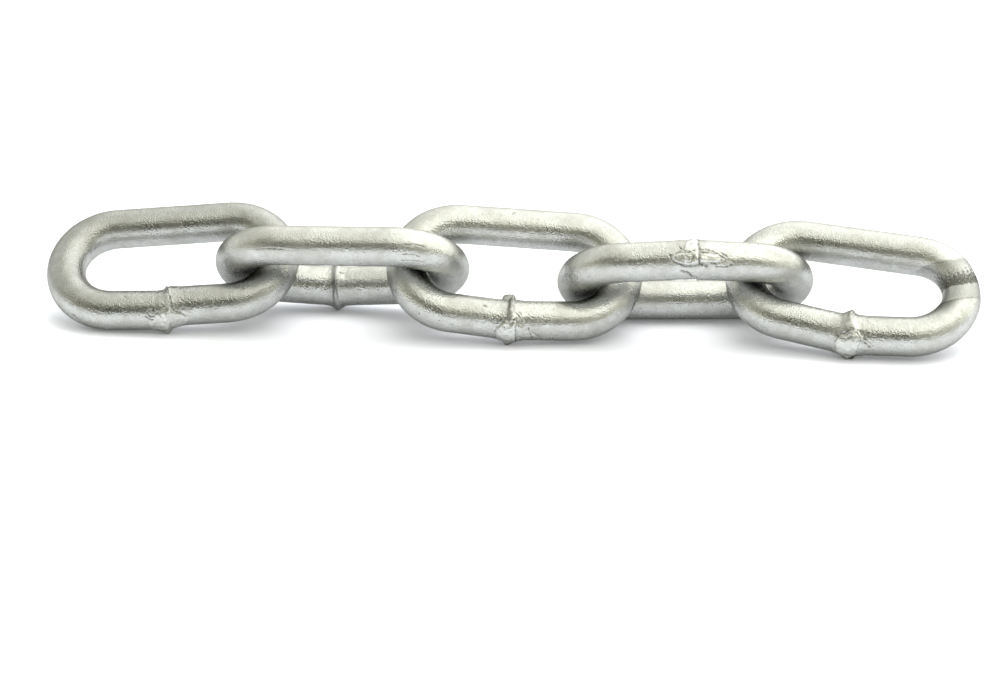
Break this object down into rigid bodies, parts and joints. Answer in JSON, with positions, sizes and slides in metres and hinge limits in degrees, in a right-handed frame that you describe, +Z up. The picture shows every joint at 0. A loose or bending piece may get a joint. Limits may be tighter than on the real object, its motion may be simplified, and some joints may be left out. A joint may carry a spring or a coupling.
{
  "type": "length of steel chain",
  "caption": "Short length of welded galvanised steel chain, drawn out straight, with long oval links that swing on one another.",
  "frame": {"origin": "on the floor, under the middle of the whole chain's box", "axes": "+X along the chain, from link_1 towards link_5; +Y away from the near side; +Z up from the floor that the chain lies on"},
  "size_m": [0.1898, 0.0422, 0.0237],
  "materials": {
    "galvanised_steel": "dull galvanised zinc with a fine grain, worn smoother where the crowns bear on each other, with rough flash at each weld"
  },
  "bodies": {
    "link_1": {"link_1": "galvanised_steel"},
    "link_2": {"link_2": "galvanised_steel"},
    "link_3": {"link_3": "galvanised_steel"},
    "link_4": {"link_4": "galvanised_steel"},
    "link_5": {"link_5": "galvanised_steel"}
  },
  "joints": [
    {"name": "link_2_swing", "type": "hinge", "parent": "link_1", "child": "link_2", "pos_m": [-0.04726, 0.00537, 0.01179], "axis": [0.0546, 0.6528, 0.7555], "range_deg": [-90, 90]},
    {"name": "link_3_swing", "type": "hinge", "parent": "link_2", "child": "link_3", "pos_m": [-0.01243, 0.00098, 0.01308], "axis": [0.0292, -0.6559, 0.7543], "range_deg": [-90, 90]},
    {"name": "link_4_swing", "type": "hinge", "parent": "link_3", "child": "link_4", "pos_m": [0.0226, -0.00081, 0.01017], "axis": [-0.0057, 0.6548, 0.7557], "range_deg": [-90, 90]},
    {"name": "link_5_swing", "type": "hinge", "parent": "link_4", "child": "link_5", "pos_m": [0.05723, -0.0027, 0.01207], "axis": [-0.0562, -0.5346, 0.8432], "range_deg": [-90, 90]}
  ]
}
